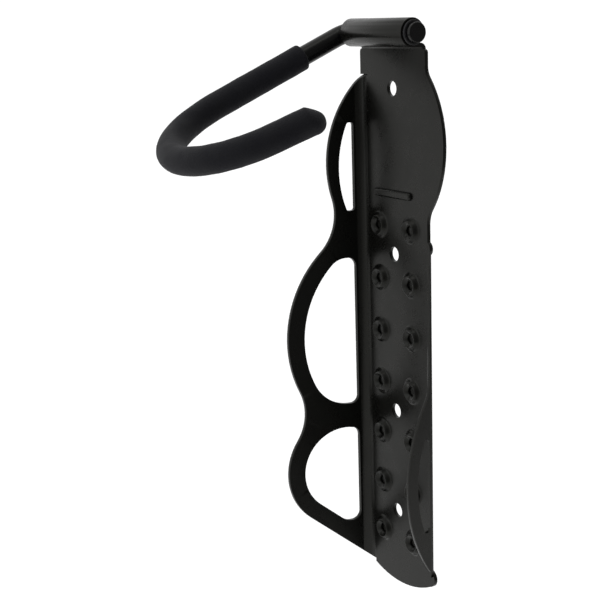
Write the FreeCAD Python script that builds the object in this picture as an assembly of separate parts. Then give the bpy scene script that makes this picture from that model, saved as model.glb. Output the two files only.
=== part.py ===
import FreeCAD, Part
import os
from math import sin, cos, radians, sqrt
from FreeCAD import Vector

# Bicycle wall rack: a formed sheet-steel wall plate with a curled knuckle at its top, and a bent
# steel hook in a foam sleeve that turns in the knuckle and folds up against the wall.
#
# Frame: the wall is the plane Y = 0, the rack stands out of it towards -Y, +Z is up and +X is to the
# right of a person who faces the wall. The origin is on the plate's back face, midway between the
# two upper screw holes. Millimetres.

# ---- driving dimensions: the wall plate ----
SHEET = 1.8                  # sheet thickness
HALF_WIDTH_LEFT = 25.5       # from the centre line to the outer face of the left flange
HALF_WIDTH_RIGHT = 27.3      # the same for the right flange
NECK_HALF = 24.5             # half width of the neck, above the flanges
PLATE_LOW = -202.2           # lowest point of the plate's bottom edge
BOTTOM_RADIUS = 53.0         # the bottom edge is an arc of this radius
NECK_LOW = 44.0              # height where the neck turns into the left flange
SCREW_DIA = 7.0
SCREW_PITCH_UPPER = 76.2     # between the two upper screw holes
SCREW_PITCH_LOWER = 50.8     # between the two lower screw holes
LOWER_SCREWS_Z = -139.7      # midway between the two lower screw holes

# ---- driving dimensions: flanges. A side outline is in (depth, z), depth = -Y from the wall ----
SPLAY = 8.0                  # degrees that a flange leans outwards from square
LEFT_BEND = 4.8              # inner bend radius of the left flange
RIGHT_BEND = 0.8             # inner bend radius of the right flange
WINDOW_BACK = 6.9            # depth at which every left window starts
LOBE_TOP = (-33.8, 2.5, 54.2)        # depth, z and radius of the lobes' outer arcs, left flange
LOBE_MIDDLE = (-14.9, -80.8, 58.0)
LOBE_LOW = (14.9, -147.4, 30.0)
WAIST = 24.4                         # radius of the hollows between the lobes
TAIL_SLOPE = 39.4                    # degrees from level of the straight edge below the lowest lobe
LENS_TOP = (-38.6, 0.2, 53.4)        # depth, z and radius of the curved side of each left window
LENS_TOP_ENDS = (-19.6, 22.0)        # and the heights between which the window lies
LENS_MIDDLE = (-15.3, -81.0, 50.2)
LENS_MIDDLE_ENDS = (-114.9, -42.2)
LENS_LOW = (15.6, -147.8, 21.1)
LENS_LOW_END = -175.9
RIGHT_LOBE = (-58.1, -143.6, 75.0)   # the right flange's one lobe
RIGHT_LENS = (-51.1, -143.6, 62.0)   # the curved side of the slot in it
SLOT_BACK = 3.1                      # depth at which that slot starts
LIP_DEPTH = 2.9                      # depth of the right flange's lip where it meets the lobe
LIP_TOP = -33.0                      # heights at which the lip starts and ends
LIP_LOW = -190.0
WING = (-10.0, 13.9, 46.9)           # x, z and radius of the flat wing beside the upper screw
WING_ROOT = 25.2                     # half width of the flat sheet below the wing
EARS = [(23.5, -32.2, 3.5), (24.2, -191.6, 4.3)]   # x, z and radius of the lip's flat end corners

# ---- driving dimensions: raised nubs and the raised bar ----
NUB_PITCH = 25.4
NUB_ROWS = 7
NUB_TOP_Z = -25.4
NUB_COLUMNS = (-11.0, 12.8)
NUB_RADIUS = 6.6
NUB_WALL = 1.1               # the sheet is drawn this thin in a nub
NUB_FRONT = [(NUB_RADIUS, 0), (5.9, 0.25), (5.1, 1.2), (4.2, 2.2), (3.3, 1.8), (2.0, 0.6), (0, -0.1)]
NUB_BACK = [(NUB_RADIUS, NUB_WALL - SHEET), (5.5, -0.2), (4.8, 0.9), (4.1, 1.8), (3.4, 1.6), (2.1, 0.5), (0, -0.1)]
BAR_Z = -9.9
BAR_LENGTH = 28.0
BAR_WIDTH = 3.8
BAR_HEIGHT = 1.5

# ---- driving dimensions: knuckle and hook ----
ROD_DIA = 9.0
ROD_PLAY = 0.06              # radial running clearance of the rod in the knuckle
KNUCKLE_HALF = 23.0          # half length of the knuckle
KNUCKLE_Y = -7.2
KNUCKLE_Z = 63.1
KNUCKLE_GAP = 35.0           # degrees below level at which the curl ends, on the wall side
TOP_BEND = 1.0               # inner radius of the bend that leads forward under the rod
ROD_END_X = 27.0             # free end of the rod, right of the knuckle
RING_THICK = 1.2             # retaining ring pressed on that end
RING_RADIUS = 5.5
RING_PLAY = 0.15             # end play between the ring and the knuckle
HOOK_DROP = 24.6             # degrees below level that the hook rests at
ELBOW_RADIUS = 6.0
SHANK_LEAN = 6.6             # degrees that the shank leans away from square to the knuckle
SHANK_LENGTH = 63.8
LOOP_RADIUS = 41.1
LOOP_TURN = 164.8            # degrees of the hook's round end
ARM_LENGTH = 13.5            # straight end of the hook after its round part
SLEEVE_DIA = 12.1
SLEEVE_START = 19.0          # bare shank between the elbow and the sleeve
ROD_SHORT = 7.0              # how far the rod stops short of the sleeve's round tip

ROD_R = ROD_DIA / 2
SLEEVE_R = SLEEVE_DIA / 2
CURL_IN = ROD_R + ROD_PLAY
CURL_OUT = CURL_IN + SHEET
LEFT_FLAT = -(HALF_WIDTH_LEFT - LEFT_BEND - SHEET)
RIGHT_FLAT = HALF_WIDTH_RIGHT - RIGHT_BEND - SHEET
FAR = 80.0                   # longer than any cut through the sheet


def block(x, y, z):
    """A box from (low, high) pairs along X, Y and Z."""
    return Part.makeBox(x[1] - x[0], y[1] - y[0], z[1] - z[0], Vector(x[0], y[0], z[0]))


def face_disc(x, z, radius):
    """A disc as thick as the sheet, lying in it."""
    return Part.makeCylinder(radius, SHEET, Vector(x, 0, z), Vector(0, -1, 0))


def side_disc(depth, z, radius, side=-1):
    """A disc seen from the side, long in X, on the left (-1) or right (+1) half."""
    return Part.makeCylinder(radius, FAR, Vector(0, -depth, z), Vector(side, 0, 0))


def side_block(depth, z, side=-1):
    """A box in side view, from (low, high) pairs of depth and height."""
    x = (-FAR, 0) if side < 0 else (0, FAR)
    return block(x, (-depth[1], -depth[0]), z)


def rounded(solid, corners, axis):
    """Round the edges along axis (0 for X, 1 for Y) that pass nearest to each corner.

    A corner is (first, second, radius): depth and z for axis 0, x and z for axis 1."""
    for first, second, radius in corners:
        def miss(edge):
            middle = edge.CenterOfMass
            across = -middle.y if axis == 0 else middle.x
            return (across - first) ** 2 + (middle.z - second) ** 2

        def is_along(edge):
            step = edge.Vertexes[-1].Point - edge.Vertexes[0].Point
            return abs(abs(step[axis]) - step.Length) < 1e-6 and step.Length > 0.1

        edges = [edge for edge in solid.Edges if is_along(edge)]
        solid = solid.makeFillet(radius, [min(edges, key=miss)])
    return solid


def half_plane(start, end, side=-1):
    """A side-view slab on the lower side of the line from start to end, both (depth, z)."""
    run = Vector(0, -(end[0] - start[0]), end[1] - start[1]).normalize()
    down = Vector(0, run.z, -run.y)
    if down.z > 0:
        down = -down
    a = Vector(0, -start[0], start[1]) - run * FAR
    b = a + run * FAR * 3
    corners = [a, b, b + down * FAR, a + down * FAR, a]
    face = Part.Face(Part.makePolygon(corners))
    return face.extrude(Vector(side * FAR, 0, 0))


# ---- the flat of the sheet ----

def flat_sheet():
    """Neck, wing and lower plate, without the flanges."""
    neck_top = KNUCKLE_Z - CURL_IN - TOP_BEND - SHEET
    neck = block((-NECK_HALF, NECK_HALF), (-SHEET, 0), (NECK_LOW, neck_top))
    upper = block((LEFT_FLAT, NECK_HALF), (-SHEET, 0), (0, NECK_LOW))
    waist = block((LEFT_FLAT, WING_ROOT), (-SHEET, 0), (LIP_TOP, 0))
    lower = block((LEFT_FLAT, RIGHT_FLAT), (-SHEET, 0), (PLATE_LOW, LIP_TOP))
    wing = face_disc(*WING).common(block((0, FAR), (-SHEET, 0), (LIP_TOP, FAR)))
    sheet = neck.fuse([upper, waist, lower, wing]).removeSplitter()
    corner = NECK_HALF - KNUCKLE_HALF
    return rounded(sheet, [(NECK_HALF, 45.5, 8.0), (WING_ROOT, -17.5, 12.0),
                           (NECK_HALF, neck_top, corner), (-NECK_HALF, neck_top, corner)], 1)


def bottom_trim():
    """What is cut away below the round bottom edge."""
    low = block((-FAR, FAR), (-FAR, 5), (PLATE_LOW - FAR, PLATE_LOW + BOTTOM_RADIUS))
    keep = Part.makeCylinder(BOTTOM_RADIUS, FAR + 5, Vector(0, 5, PLATE_LOW + BOTTOM_RADIUS), Vector(0, -1, 0))
    return low.cut(keep)


# ---- flanges ----

def bent_strip(flat_edge, bend, side, z):
    """The bend and the flange as one long strip: side -1 is left, +1 is right."""
    centre = Vector(flat_edge, -SHEET - bend, 0)
    turn = radians(90 - SPLAY)

    def on_bend(radius, angle):
        return centre + Vector(side * radius * sin(angle), radius * cos(angle), 0)

    outer, inner = bend + SHEET, bend
    run = Vector(side * cos(turn), -sin(turn), 0) * FAR
    end_outer = on_bend(outer, turn) + run
    end_inner = on_bend(inner, turn) + run
    edges = [
        Part.Arc(on_bend(outer, 0), on_bend(outer, turn / 2), on_bend(outer, turn)).toShape(),
        Part.makeLine(on_bend(outer, turn), end_outer),
        Part.makeLine(end_outer, end_inner),
        Part.makeLine(end_inner, on_bend(inner, turn)),
        Part.Arc(on_bend(inner, turn), on_bend(inner, turn / 2), on_bend(inner, 0)).toShape(),
        Part.makeLine(on_bend(inner, 0), on_bend(outer, 0)),
    ]
    strip = Part.Face(Part.Wire(edges)).extrude(Vector(0, 0, z[1] - z[0]))
    return strip.translated(Vector(0, 0, z[0]))


def tailed_disc(disc, low):
    """A disc in side view that runs on below as a straight tail, down to the height low."""
    depth, z, radius = disc
    slope = radians(TAIL_SLOPE)
    touch = (depth + radius * sin(slope), z - radius * cos(slope))
    tail = side_block((-FAR, touch[0]), (low, z))
    tail = tail.cut(half_plane(touch, (touch[0] - cos(slope), touch[1] - sin(slope))))
    return side_disc(*disc).fuse(tail)


def left_flange():
    """Three lobes with three windows; the lowest lobe ends in a straight diagonal."""
    z = (PLATE_LOW, NECK_LOW + 1.5)
    lobes = side_disc(*LOBE_TOP).fuse([side_disc(*LOBE_MIDDLE), tailed_disc(LOBE_LOW, PLATE_LOW)])
    lobes = lobes.common(side_block((-1, FAR), z)).removeSplitter()
    lobes = rounded(lobes, [(14.9, -21.5, WAIST), (36.0, -112.0, WAIST)], 0)

    past = side_block((WINDOW_BACK, FAR), (-FAR * 3, FAR))
    upper = past.common(side_disc(*LENS_TOP)).common(side_block((0, FAR), LENS_TOP_ENDS))
    upper = rounded(upper, [(WINDOW_BACK, LENS_TOP_ENDS[0], 1.3), (WINDOW_BACK, LENS_TOP_ENDS[1], 1.3),
                            (11.2, LENS_TOP_ENDS[0], 1.3), (10.3, LENS_TOP_ENDS[1], 1.3)], 0)
    middle = past.common(side_disc(*LENS_MIDDLE)).common(side_block((0, FAR), LENS_MIDDLE_ENDS))
    middle = rounded(middle, [(21.4, LENS_MIDDLE_ENDS[0], 21.0), (16.5, LENS_MIDDLE_ENDS[1], 10.0),
                              (WINDOW_BACK, LENS_MIDDLE_ENDS[0], 3.7), (WINDOW_BACK, LENS_MIDDLE_ENDS[1], 4.5)], 0)
    lower = past.common(tailed_disc(LENS_LOW, LENS_LOW_END)).removeSplitter()
    lower = rounded(lower, [(WINDOW_BACK, LENS_LOW_END, 4.2), (14.6, LENS_LOW_END, 8.0),
                            (WINDOW_BACK, -128.6, 4.5)], 0)
    strip = bent_strip(LEFT_FLAT, LEFT_BEND, -1, z)
    return strip.common(lobes).cut(upper.fuse([middle, lower]))


def right_flange():
    """A slim lip that grows downwards into one lobe with a lens-shaped slot."""
    z = (LIP_LOW, LIP_TOP)
    corners = [(-1, LIP_TOP), (SHEET, LIP_TOP), (LIP_DEPTH, -98.0), (LIP_DEPTH, LIP_LOW), (-1, LIP_LOW)]
    points = [Vector(0, -depth, height) for depth, height in corners]
    lip = Part.Face(Part.makePolygon(points + points[:1])).extrude(Vector(FAR, 0, 0))
    lobe = side_disc(*RIGHT_LOBE, 1).common(side_block((-1, FAR), z, 1))
    outline = lip.fuse(lobe).removeSplitter()
    outline = rounded(outline, [(LIP_DEPTH, -100.0, 16.0)], 0)
    slot = side_disc(*RIGHT_LENS, 1).common(side_block((SLOT_BACK, FAR), (-FAR * 3, FAR), 1))
    slot = rounded(slot, [(SLOT_BACK, -114.0, 2.0), (SLOT_BACK, -173.0, 2.0)], 0)
    return bent_strip(RIGHT_FLAT, RIGHT_BEND, 1, z).common(outline).cut(slot)


# ---- knuckle, nubs, bar and holes ----

def ring_sector(centre, inner, outer, start, middle, end, half_length):
    """A curved strip of sheet about an axis along X; angles in degrees from +Y towards +Z."""
    def at(radius, degrees):
        angle = radians(degrees)
        return centre + Vector(-half_length, radius * cos(angle), radius * sin(angle))

    edges = [
        Part.Arc(at(outer, start), at(outer, middle), at(outer, end)).toShape(),
        Part.makeLine(at(outer, end), at(inner, end)),
        Part.Arc(at(inner, end), at(inner, middle), at(inner, start)).toShape(),
        Part.makeLine(at(inner, start), at(outer, start)),
    ]
    return Part.Face(Part.Wire(edges)).extrude(Vector(2 * half_length, 0, 0))


def knuckle():
    """The sheet's top: bent forward under the rod, then curled up, over and down behind it."""
    axis = Vector(0, KNUCKLE_Y, KNUCKLE_Z)
    shelf_top = KNUCKLE_Z - CURL_IN
    bend_axis = Vector(0, -SHEET - TOP_BEND, shelf_top - SHEET - TOP_BEND)
    bend = ring_sector(bend_axis, TOP_BEND, TOP_BEND + SHEET, 0, 45, 90, KNUCKLE_HALF)
    shelf = block((-KNUCKLE_HALF, KNUCKLE_HALF), (KNUCKLE_Y, bend_axis.y), (shelf_top - SHEET, shelf_top))
    curl_end = -KNUCKLE_GAP
    curl = ring_sector(axis, CURL_IN, CURL_OUT, curl_end, (curl_end + 270) / 2, 270, KNUCKLE_HALF)
    return bend.fuse([shelf, curl])


def nub():
    """One raised nub: a low ring with a dished middle, formed in the sheet, so that its back is hollow."""
    def curve(points, depth):
        """A spline from the foot to the middle, level at both ends; depth is behind the plate's face."""
        spline = Part.BSplineCurve()
        spline.interpolate([Vector(r, depth - SHEET - h, 0) for r, h in points],
                           InitialTangent=Vector(-1, 0, 0), FinalTangent=Vector(-1, 0, 0))
        return spline.toShape()

    front = curve(NUB_FRONT, 0)
    back = curve(NUB_BACK, NUB_WALL)
    foot, foot_back = Vector(NUB_RADIUS, -SHEET, 0), Vector(NUB_RADIUS, 0, 0)
    top = Vector(0, -SHEET - NUB_FRONT[-1][1], 0)
    top_back = Vector(0, NUB_WALL - SHEET - NUB_BACK[-1][1], 0)
    wire = Part.Wire([front, Part.makeLine(top, top_back), back, Part.makeLine(foot_back, foot)])
    return Part.Face(wire).revolve(Vector(0, 0, 0), Vector(0, 1, 0), 360)


def bar():
    """A raised bar with round ends, pressed out of the sheet, with a slot behind it."""
    half = (BAR_LENGTH - BAR_WIDTH) / 2

    def stadium(width, depth_low, depth_high):
        body = block((-half, half), (-depth_high, -depth_low), (BAR_Z - width / 2, BAR_Z + width / 2))
        ends = [Part.makeCylinder(width / 2, depth_high - depth_low, Vector(x, -depth_low, BAR_Z),
                                  Vector(0, -1, 0)) for x in (-half, half)]
        return body.fuse(ends).removeSplitter()

    raised = stadium(BAR_WIDTH, SHEET - 0.5, SHEET + BAR_HEIGHT)
    rim = [edge for edge in raised.Edges if abs(edge.BoundBox.YMin + SHEET + BAR_HEIGHT) < 1e-6
           and abs(edge.BoundBox.YMax + SHEET + BAR_HEIGHT) < 1e-6]
    raised = raised.makeFillet(1.2, rim)
    return raised, stadium(BAR_WIDTH - 1.8, -1, SHEET + BAR_HEIGHT - 1.1)


def wall_plate():
    sheet = flat_sheet().fuse([left_flange(), right_flange(), knuckle()]).cut(bottom_trim())
    sheet = sheet.fuse([face_disc(*ear) for ear in EARS])
    places = [(x, NUB_TOP_Z - row * NUB_PITCH) for row in range(NUB_ROWS) for x in NUB_COLUMNS]
    seats = [face_disc(x, z, NUB_RADIUS) for x, z in places]
    nubs = [nub().translated(Vector(x, 0, z)) for x, z in places]
    raised, slot = bar()
    sheet = sheet.cut(seats[0].fuse(seats[1:])).fuse([*nubs, raised]).cut(slot)
    screws = [SCREW_PITCH_UPPER / 2, -SCREW_PITCH_UPPER / 2,
              LOWER_SCREWS_Z + SCREW_PITCH_LOWER / 2, LOWER_SCREWS_Z - SCREW_PITCH_LOWER / 2]
    holes = [Part.makeCylinder(SCREW_DIA / 2, 10, Vector(0, 1, z), Vector(0, -1, 0)) for z in screws]
    return sheet.cut(holes[0].fuse(holes[1:])).removeSplitter()


# ---- hook ----

def hook_point(x, reach):
    """A point of the hook's plane: reach is the distance from the knuckle's axis."""
    drop = radians(HOOK_DROP)
    return Vector(x, KNUCKLE_Y - reach * cos(drop), KNUCKLE_Z - reach * sin(drop))


def hook_runs():
    """The hook's centre line as (start, middle or None, end) runs in (x, reach), free end first."""
    lean = radians(SHANK_LEAN)
    elbow_x = -KNUCKLE_HALF - 0.1
    swing = radians(90) - lean
    elbow_end = (elbow_x - ELBOW_RADIUS * sin(swing), ELBOW_RADIUS * (1 - cos(swing)))
    elbow_mid = (elbow_x - ELBOW_RADIUS * sin(swing / 2), ELBOW_RADIUS * (1 - cos(swing / 2)))
    shank_end = (elbow_end[0] - SHANK_LENGTH * sin(lean), elbow_end[1] + SHANK_LENGTH * cos(lean))
    centre = (shank_end[0] + LOOP_RADIUS * cos(lean), shank_end[1] + LOOP_RADIUS * sin(lean))

    def on_loop(turn):
        angle = radians(180 + SHANK_LEAN - turn)
        return centre[0] + LOOP_RADIUS * cos(angle), centre[1] + LOOP_RADIUS * sin(angle)

    heading = radians(90 + SHANK_LEAN - LOOP_TURN)
    loop_end = on_loop(LOOP_TURN)
    arm_end = (loop_end[0] + ARM_LENGTH * cos(heading), loop_end[1] + ARM_LENGTH * sin(heading))
    return [((ROD_END_X, 0), None, (elbow_x, 0)), ((elbow_x, 0), elbow_mid, elbow_end),
            (elbow_end, None, shank_end), (shank_end, on_loop(LOOP_TURN / 2), loop_end),
            (loop_end, None, arm_end)]


def part_way(run, start=0.0, end=None):
    """A straight run cut to begin start and to finish end millimetres along it."""
    a, _, b = run
    length = sqrt((b[0] - a[0]) ** 2 + (b[1] - a[1]) ** 2)
    end = length if end is None else end

    def at(distance):
        return tuple(p + (q - p) * distance / length for p, q in zip(a, b))

    return at(start), None, at(end)


def tube_along(runs, radius):
    """A round bar along the runs."""
    edges = []
    for start, middle, end in runs:
        a, b = hook_point(*start), hook_point(*end)
        if middle:
            edges.append(Part.Arc(a, hook_point(*middle), b).toShape())
        else:
            edges.append(Part.makeLine(a, b))
    path = Part.Wire(edges)
    first = edges[0]
    tangent = first.tangentAt(first.FirstParameter)
    circle = Part.Wire(Part.makeCircle(radius, hook_point(*runs[0][0]), tangent))
    return path.makePipeShell([circle], True, True)


def hook_rod():
    barrel, elbow, shank, loop, arm = hook_runs()
    rod = tube_along([barrel, elbow, shank, loop, part_way(arm, 0, ARM_LENGTH - ROD_SHORT)], ROD_R)
    rim = [edge for edge in rod.Edges if abs(edge.BoundBox.XMin - ROD_END_X) < 1e-3
           and edge.BoundBox.XLength < 1e-3]
    return rod.makeFillet(0.6, rim)


def hook_sleeve():
    """Foam tube over the loop and most of the shank, closed by a round tip."""
    _, _, shank, loop, arm = hook_runs()
    tube = tube_along([part_way(shank, SLEEVE_START), loop, arm], SLEEVE_R)
    tip = hook_point(*arm[2])
    sleeve = tube.fuse(Part.makeSphere(SLEEVE_R, tip)).removeSplitter()
    return sleeve.cut(tube_along([part_way(shank, SLEEVE_START - 5), loop,
                                  part_way(arm, 0, ARM_LENGTH - ROD_SHORT)], ROD_R))


def retaining_ring():
    """A flat ring pressed on the rod's free end, which keeps the rod from sliding out."""
    start = Vector(KNUCKLE_HALF + RING_PLAY, KNUCKLE_Y, KNUCKLE_Z)
    ring = Part.makeCylinder(RING_RADIUS, RING_THICK, start, Vector(1, 0, 0))
    return ring.cut(Part.makeCylinder(ROD_R, RING_THICK, start, Vector(1, 0, 0)))


PARTS = {
    "wall_plate": wall_plate,
    "hook_rod": hook_rod,
    "hook_sleeve": hook_sleeve,
    "retaining_ring": retaining_ring,
}

os.makedirs("parts", exist_ok=True)
for name, make in PARTS.items():
    shape = make()
    if len(shape.Solids) == 1:
        shape = shape.Solids[0]
    shape.exportStep("parts/" + name + ".step")
    box = shape.BoundBox
    print(name, "valid", shape.isValid(), "solids", len(shape.Solids), "volume", round(shape.Volume),
          "x", round(box.XMin, 2), round(box.XMax, 2), "y", round(box.YMin, 2), round(box.YMax, 2),
          "z", round(box.ZMin, 2), round(box.ZMax, 2))
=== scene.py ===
import math

import bmesh
import bpy
from mathutils import Matrix, Vector, noise


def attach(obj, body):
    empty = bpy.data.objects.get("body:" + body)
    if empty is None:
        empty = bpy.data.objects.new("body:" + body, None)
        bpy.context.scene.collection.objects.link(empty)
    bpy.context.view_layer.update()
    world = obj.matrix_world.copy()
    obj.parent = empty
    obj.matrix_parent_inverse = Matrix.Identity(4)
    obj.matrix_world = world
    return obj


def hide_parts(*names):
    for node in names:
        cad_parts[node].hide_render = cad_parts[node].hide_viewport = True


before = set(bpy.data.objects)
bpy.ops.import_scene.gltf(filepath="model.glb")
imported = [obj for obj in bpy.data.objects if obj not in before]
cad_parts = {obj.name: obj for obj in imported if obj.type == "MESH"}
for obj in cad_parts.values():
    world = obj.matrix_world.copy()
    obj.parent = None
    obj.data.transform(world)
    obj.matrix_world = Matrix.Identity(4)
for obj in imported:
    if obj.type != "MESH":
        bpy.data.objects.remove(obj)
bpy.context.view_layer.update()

# A bicycle wall rack: a formed sheet-steel plate in black enamel, with a bent steel hook in a foam
# sleeve. Metres, in the frame of the CAD model: the wall is Y = 0, +Z is up.

MM = 0.001

# ---- the hook's line, as the CAD model has it ----
KNUCKLE_Y = -7.2 * MM
KNUCKLE_Z = 63.1 * MM
KNUCKLE_HALF = 23.0 * MM
HOOK_DROP = math.radians(24.6)
ELBOW_START = 0.1 * MM
ELBOW_RADIUS = 6.0 * MM
SHANK_LEAN = math.radians(6.6)
SHANK_LENGTH = 63.8 * MM
LOOP_RADIUS = 41.1 * MM
LOOP_TURN = math.radians(164.8)
ARM_LENGTH = 13.5 * MM
SLEEVE_RADIUS = 6.05 * MM
SLEEVE_START = 19.0 * MM
ROD_RADIUS = 4.5 * MM

# ---- the foam sleeve's skin ----
AROUND = 48                  # points in one ring of the skin
LINE_STEP = 1.0 * MM         # rings stand this far apart along the hook
LIP_LENGTH = 1.1 * MM        # the open end is rounded over about this length
LIP_STEPS = 5
TIP_STEPS = 12
TIP_DROOP = 1.2 * MM         # the closed tip leans this far below the sleeve's line
TIP_PINCH = 0.2              # and is flattened this much on its upper side
SWELL = (160.0, 0.12 * MM)   # slow unevenness of the foam: noise scale and height
RIPPLE = (700.0, 0.03 * MM)  # fine unevenness: the same

# ---- edges of the CAD pieces ----
EDGE_ROUND = 0.2 * MM        # the enamel rounds every cut edge this much
EDGE_ANGLE = math.radians(50)
WELD_GAP = 0.002 * MM

# ---- camera ----
CAMERA_PLACE = Vector((467.4, -344.8, 74.1)) * MM
CAMERA_AZIMUTH = math.radians(58.12)
CAMERA_DOWN = math.radians(12.92)
CAMERA_ROLL = math.radians(-1.81)
CAMERA_LENS = 75.92
SENSOR_WIDTH = 36.0

# ---- studio ----
FLOOR_Z = -0.6
FLOOR_REACH = 6.0
FLOOR_RIGHT = 0.8            # short on the dim side, so that the flange doesn't mirror the floor
FLOOR_GLOW = 0.3
STUDIO_BRIGHT = 1.08         # strength of the world's light on the rack's left
STUDIO_DIM = 0.25            # and on its right
STUDIO_FADE = (-0.1, 0.75)   # the light fades between these X directions


# ---------------------------------------------------------------- materials

def new_material(name):
    material = bpy.data.materials.new(name)
    material.use_nodes = True
    nodes = material.node_tree.nodes
    shader = nodes["Principled BSDF"]
    return material, nodes, material.node_tree.links, shader


def noise_node(nodes, links, scale, detail=3.0, roughness=0.5):
    """Noise in object space; scale is in waves per metre."""
    place = nodes.new("ShaderNodeTexCoord")
    texture = nodes.new("ShaderNodeTexNoise")
    texture.inputs["Scale"].default_value = scale
    texture.inputs["Detail"].default_value = detail
    texture.inputs["Roughness"].default_value = roughness
    links.new(place.outputs["Object"], texture.inputs["Vector"])
    return texture


def remap(nodes, links, value, low, high, from_low=0.3, from_high=0.7):
    node = nodes.new("ShaderNodeMapRange")
    node.inputs["From Min"].default_value = from_low
    node.inputs["From Max"].default_value = from_high
    node.inputs["To Min"].default_value = low
    node.inputs["To Max"].default_value = high
    links.new(value, node.inputs["Value"])
    return node.outputs["Result"]


def mix_colour(nodes, links, factor, first, second):
    node = nodes.new("ShaderNodeMix")
    node.data_type = "RGBA"
    node.inputs["A"].default_value = (*first, 1)
    node.inputs["B"].default_value = (*second, 1)
    links.new(factor, node.inputs["Factor"])
    return node.outputs["Result"]


def bump(nodes, links, height, strength, distance, after=None):
    node = nodes.new("ShaderNodeBump")
    node.inputs["Strength"].default_value = strength
    node.inputs["Distance"].default_value = distance
    links.new(height, node.inputs["Height"])
    if after is not None:
        links.new(after, node.inputs["Normal"])
    return node.outputs["Normal"]


def enamel(name, dark, light, smooth, rough):
    """Baked black enamel: slight orange peel, uneven gloss and a little dust in the film."""
    material, nodes, links, shader = new_material(name)
    cloud = noise_node(nodes, links, scale=45.0, detail=4.0)
    links.new(mix_colour(nodes, links, cloud.outputs["Fac"], dark, light), shader.inputs["Base Color"])
    gloss = noise_node(nodes, links, scale=130.0, detail=5.0, roughness=0.6)
    links.new(remap(nodes, links, gloss.outputs["Fac"], smooth, rough), shader.inputs["Roughness"])
    peel = noise_node(nodes, links, scale=900.0, detail=2.0)
    dust = noise_node(nodes, links, scale=3200.0, detail=2.0, roughness=0.7)
    peeled = bump(nodes, links, peel.outputs["Fac"], 0.12, 0.12 * MM)
    links.new(bump(nodes, links, dust.outputs["Fac"], 0.10, 0.05 * MM, peeled), shader.inputs["Normal"])
    shader.inputs["Specular IOR Level"].default_value = 0.2
    shader.inputs["Specular Tint"].default_value = (1.0, 1.0, 0.93, 1)
    return material


def foam(name):
    """Closed-cell foam: matte, with fine open pores and a soft sheen."""
    material, nodes, links, shader = new_material(name)
    cloud = noise_node(nodes, links, scale=90.0, detail=5.0, roughness=0.6)
    dark, light = (0.003, 0.003, 0.0045), (0.007, 0.007, 0.010)
    links.new(mix_colour(nodes, links, cloud.outputs["Fac"], dark, light), shader.inputs["Base Color"])
    links.new(remap(nodes, links, cloud.outputs["Fac"], 0.72, 0.9), shader.inputs["Roughness"])
    place = nodes.new("ShaderNodeTexCoord")
    cells = nodes.new("ShaderNodeTexVoronoi")
    cells.inputs["Scale"].default_value = 1500.0
    links.new(place.outputs["Object"], cells.inputs["Vector"])
    grain = noise_node(nodes, links, scale=2600.0, detail=3.0, roughness=0.7)
    pores = bump(nodes, links, cells.outputs["Distance"], 0.5, 0.18 * MM)
    links.new(bump(nodes, links, grain.outputs["Fac"], 0.35, 0.12 * MM, pores), shader.inputs["Normal"])
    shader.inputs["Specular IOR Level"].default_value = 0.2
    shader.inputs["Sheen Weight"].default_value = 0.04
    shader.inputs["Sheen Roughness"].default_value = 0.5
    return material


def plain(name, colour, rough):
    material, _, _, shader = new_material(name)
    shader.inputs["Base Color"].default_value = (*colour, 1)
    shader.inputs["Roughness"].default_value = rough
    return material


def give(node, material):
    """Gives a CAD node its material, and rounds its cut edges with modifiers."""
    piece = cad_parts[node]
    piece.data.materials.clear()
    piece.data.materials.append(material)
    weld = piece.modifiers.new("weld", "WELD")
    weld.merge_threshold = WELD_GAP
    edges = piece.modifiers.new("edges", "BEVEL")
    edges.width = EDGE_ROUND
    edges.segments = 2
    edges.limit_method = "ANGLE"
    edges.angle_limit = EDGE_ANGLE
    edges.harden_normals = True


# ---------------------------------------------------------------- the hook's line

def hook_point(x, reach):
    return Vector((x, KNUCKLE_Y - reach * math.cos(HOOK_DROP), KNUCKLE_Z - reach * math.sin(HOOK_DROP)))


def hook_normal():
    """The upward normal of the hook's plane."""
    return Vector((0, -math.sin(HOOK_DROP), math.cos(HOOK_DROP)))


def sleeve_line():
    """(place, direction, inward) along the sleeve, from its open end to the tip's root.

    inward points to the centre of the loop's bend, in the hook's plane."""
    swing = math.pi / 2 - SHANK_LEAN
    start_x = -KNUCKLE_HALF - ELBOW_START - ELBOW_RADIUS * math.sin(swing)
    start_reach = ELBOW_RADIUS * (1 - math.cos(swing))
    heading = math.pi / 2 + SHANK_LEAN
    length = SHANK_LENGTH - SLEEVE_START
    x = start_x + SLEEVE_START * math.cos(heading)
    reach = start_reach + SLEEVE_START * math.sin(heading)
    runs = [(length, 0.0), (LOOP_RADIUS * LOOP_TURN, LOOP_TURN), (ARM_LENGTH, 0.0)]
    line = []
    for run, turn in runs:
        count = max(2, round(run / LINE_STEP))
        for _ in range(count):
            line.append((x, reach, heading))
            middle = heading - turn / count / 2
            chord = run / count
            if turn:
                chord = 2 * LOOP_RADIUS * math.sin(turn / count / 2)
            x += chord * math.cos(middle)
            reach += chord * math.sin(middle)
            heading -= turn / count
    line.append((x, reach, heading))
    out = []
    for x, reach, heading in line:
        here = hook_point(x, reach)
        along = hook_point(x + math.cos(heading), reach + math.sin(heading)) - here
        inward = hook_point(x + math.sin(heading), reach - math.cos(heading)) - here
        out.append((here, along.normalized(), inward.normalized()))
    return out


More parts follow.
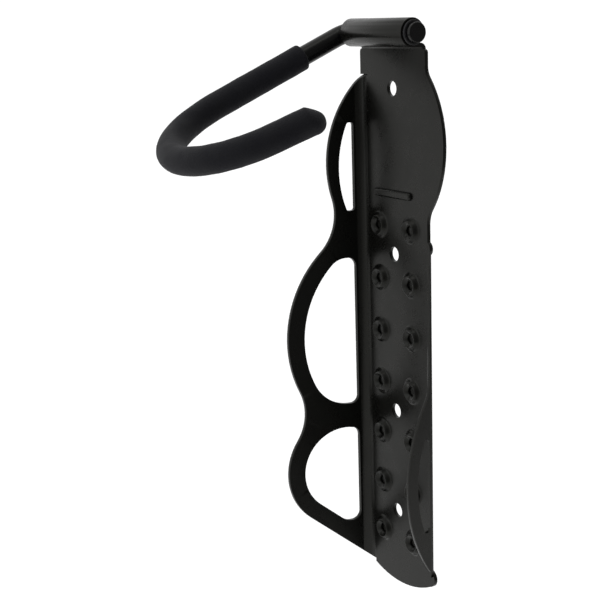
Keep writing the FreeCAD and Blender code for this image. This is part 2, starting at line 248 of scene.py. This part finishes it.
def add_ring(shape, place, along, inward, radius, up=None, pinch=0.0):
    """One ring of the skin; pinch is how much of its radius it loses on its upper side."""
    side = along.cross(inward)
    verts = []
    for i in range(AROUND):
        angle = 2 * math.pi * i / AROUND
        out = inward * math.cos(angle) + side * math.sin(angle)
        squeeze = 1 - pinch * max(0.0, out.dot(up)) if up else 1
        point = place + out * radius * squeeze
        wave = sum(noise.noise(point * scale) * height for scale, height in (SWELL, RIPPLE))
        verts.append(shape.verts.new(point + out * wave))
    return verts


def lip_rings(shape, place, along, inward):
    """The open end: a short way in along the rod, then rounded out to the sleeve's full radius."""
    rings = [add_ring(shape, place + along * 2.5 * MM, along, inward, ROD_RADIUS + 0.05 * MM),
             add_ring(shape, place + along * 0.3 * MM, along, inward, ROD_RADIUS + 0.1 * MM)]
    inner = ROD_RADIUS + 0.3 * MM
    for i in range(LIP_STEPS):
        turn = math.pi / 2 * (i + 1) / LIP_STEPS
        radius = inner + (SLEEVE_RADIUS - inner) * math.sin(turn)
        shift = along * LIP_LENGTH * (1 - math.cos(turn)) * 0.9
        rings.append(add_ring(shape, place + shift, along, inward, radius))
    return rings


def tip_rings(shape, end, along, inward, up):
    rings = []
    for i in range(1, TIP_STEPS):
        turn = math.pi / 2 * i / TIP_STEPS
        place = end + along * SLEEVE_RADIUS * math.sin(turn) - up * TIP_DROOP * math.sin(turn)
        pinch = TIP_PINCH * math.sin(2 * turn)
        rings.append(add_ring(shape, place, along, inward, SLEEVE_RADIUS * math.cos(turn), up, pinch))
    return rings


def sleeve_mesh():
    line = sleeve_line()
    up = hook_normal()
    shape = bmesh.new()
    rings = lip_rings(shape, *line[0])
    for place, along, inward in line[2:]:
        rings.append(add_ring(shape, place, along, inward, SLEEVE_RADIUS))
    end, along, inward = line[-1]
    rings += tip_rings(shape, end, along, inward, up)
    for ring, next_ring in zip(rings, rings[1:]):
        for i in range(AROUND):
            j = (i + 1) % AROUND
            shape.faces.new((ring[i], ring[j], next_ring[j], next_ring[i]))
    cap = shape.verts.new(end + along * SLEEVE_RADIUS - up * TIP_DROOP)
    for i in range(AROUND):
        shape.faces.new((rings[-1][i], rings[-1][(i + 1) % AROUND], cap))
    shape.faces.new(list(reversed(rings[0])))
    bmesh.ops.recalc_face_normals(shape, faces=shape.faces)
    mesh = bpy.data.meshes.new("foam_sleeve")
    shape.to_mesh(mesh)
    shape.free()
    for polygon in mesh.polygons:
        polygon.use_smooth = True
    return mesh


def make_sleeve(material):
    """The foam sleeve: an open, rounded lip at the shank, a slightly uneven skin and a closed tip."""
    mesh = sleeve_mesh()
    mesh.materials.append(material)
    piece = bpy.data.objects.new("foam_sleeve", mesh)
    bpy.context.collection.objects.link(piece)
    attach(piece, "hook")
    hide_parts("hook_sleeve")


# ---------------------------------------------------------------- stage

def make_floor():
    mesh = bpy.data.meshes.new("floor")
    corners = [(-FLOOR_REACH, -FLOOR_REACH, FLOOR_Z), (FLOOR_RIGHT, -FLOOR_REACH, FLOOR_Z),
               (FLOOR_RIGHT, FLOOR_REACH, FLOOR_Z), (-FLOOR_REACH, FLOOR_REACH, FLOOR_Z)]
    mesh.from_pydata(corners, [], [(0, 1, 2, 3)])
    pale = plain("pale_floor", (0.9, 0.9, 0.9), 0.7)
    glow = pale.node_tree.nodes["Principled BSDF"].inputs
    glow["Emission Color"].default_value = (1, 1, 1, 1)
    glow["Emission Strength"].default_value = FLOOR_GLOW
    mesh.materials.append(pale)
    floor = bpy.data.objects.new("floor", mesh)
    bpy.context.collection.objects.link(floor)


def soft_light(name, place, target, size, watts, colour=(1, 1, 1)):
    lamp = bpy.data.lights.new(name, "AREA")
    lamp.shape = "RECTANGLE"
    lamp.size, lamp.size_y = size
    lamp.energy = watts
    lamp.color = colour
    holder = bpy.data.objects.new(name, lamp)
    holder.location = place
    holder.rotation_euler = (Vector(target) - Vector(place)).to_track_quat("-Z", "Y").to_euler()
    bpy.context.collection.objects.link(holder)


def make_world():
    """A white studio. Its light gets dimmer towards the rack's right, but its backdrop is white all round."""
    world = bpy.data.worlds.new("studio")
    bpy.context.scene.world = world
    world.use_nodes = True
    nodes, links = world.node_tree.nodes, world.node_tree.links
    back = nodes["Background"]
    back.inputs["Color"].default_value = (1, 1, 1, 1)
    place = nodes.new("ShaderNodeTexCoord")
    split = nodes.new("ShaderNodeSeparateXYZ")
    links.new(place.outputs["Generated"], split.inputs["Vector"])
    side = remap(nodes, links, split.outputs["X"], STUDIO_BRIGHT, STUDIO_DIM, *STUDIO_FADE)
    ray = nodes.new("ShaderNodeLightPath")
    strength = nodes.new("ShaderNodeMath")
    strength.operation = "MAXIMUM"
    links.new(side, strength.inputs[0])
    links.new(ray.outputs["Is Camera Ray"], strength.inputs[1])
    links.new(strength.outputs[0], back.inputs["Strength"])


def make_camera():
    camera = bpy.data.cameras.new("camera")
    camera.sensor_width = SENSOR_WIDTH
    camera.lens = CAMERA_LENS
    camera.clip_start = 0.01
    holder = bpy.data.objects.new("camera", camera)
    forward = Vector((-math.sin(CAMERA_AZIMUTH) * math.cos(CAMERA_DOWN),
                      math.cos(CAMERA_AZIMUTH) * math.cos(CAMERA_DOWN),
                      -math.sin(CAMERA_DOWN)))
    level = Vector((math.cos(CAMERA_AZIMUTH), math.sin(CAMERA_AZIMUTH), 0))
    up = level.cross(forward)
    right = level * math.cos(CAMERA_ROLL) + up * math.sin(CAMERA_ROLL)
    up = up * math.cos(CAMERA_ROLL) - level * math.sin(CAMERA_ROLL)
    turn = Matrix((right, up, -forward)).transposed().to_4x4()
    holder.matrix_world = Matrix.Translation(CAMERA_PLACE) @ turn
    bpy.context.collection.objects.link(holder)
    bpy.context.scene.camera = holder


# ---------------------------------------------------------------- the scene

plate_enamel = enamel("plate_enamel", (0.0022, 0.0022, 0.0018), (0.0034, 0.0034, 0.0028), 0.24, 0.34)
rod_enamel = enamel("rod_enamel", (0.0022, 0.0022, 0.0026), (0.0034, 0.0034, 0.0038), 0.20, 0.28)
ring_steel = enamel("ring_steel", (0.012, 0.012, 0.013), (0.03, 0.03, 0.032), 0.3, 0.45)
give("wall_plate", plate_enamel)
give("hook_rod", rod_enamel)
give("retaining_ring", ring_steel)
make_sleeve(foam("foam"))

make_camera()
make_floor()
make_world()
soft_light("front", (-0.2, -1.4, 0.5), (0, 0, -0.05), (0.9, 1.2), 2.4, (0.88, 0.94, 1.0))
soft_light("top", (0.25, -0.35, 1.3), (0, 0, 0.06), (0.7, 0.5), 1.6)
bpy.context.scene.view_settings.view_transform = "Standard"
